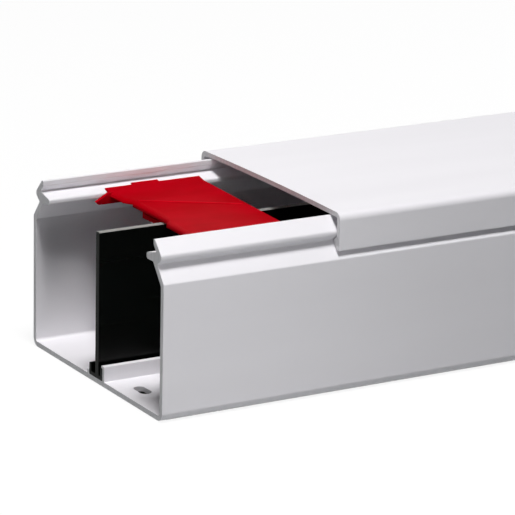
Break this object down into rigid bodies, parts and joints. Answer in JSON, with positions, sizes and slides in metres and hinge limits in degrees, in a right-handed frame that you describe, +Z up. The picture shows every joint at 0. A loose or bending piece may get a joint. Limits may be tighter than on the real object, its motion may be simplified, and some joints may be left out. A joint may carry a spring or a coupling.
{
  "type": "cable trunking",
  "caption": "Rectangular PVC cable trunking with a push-fit cover, a dark divider strip that parts it into compartments, and a red cable retainer across its ledges.",
  "frame": {"origin": "middle of the underside: half of the length, half of the width, at the floor's outer face", "axes": "+X along the stock, away from the opened end; +Y across, to the wall farther from the viewer; +Z up, out of the cover"},
  "size_m": [2, 0.09, 0.061],
  "materials": {
    "white_pvc": "extruded satin",
    "white_pvc_cover": "extruded satin",
    "dark_pvc": "extruded gloss",
    "red_plastic": "moulded satin"
  },
  "bodies": {
    "root": {"trunking_base": "white_pvc", "cover": "white_pvc_cover", "divider_strip": "dark_pvc", "cable_retainer": "red_plastic"}
  },
  "joints": []
}
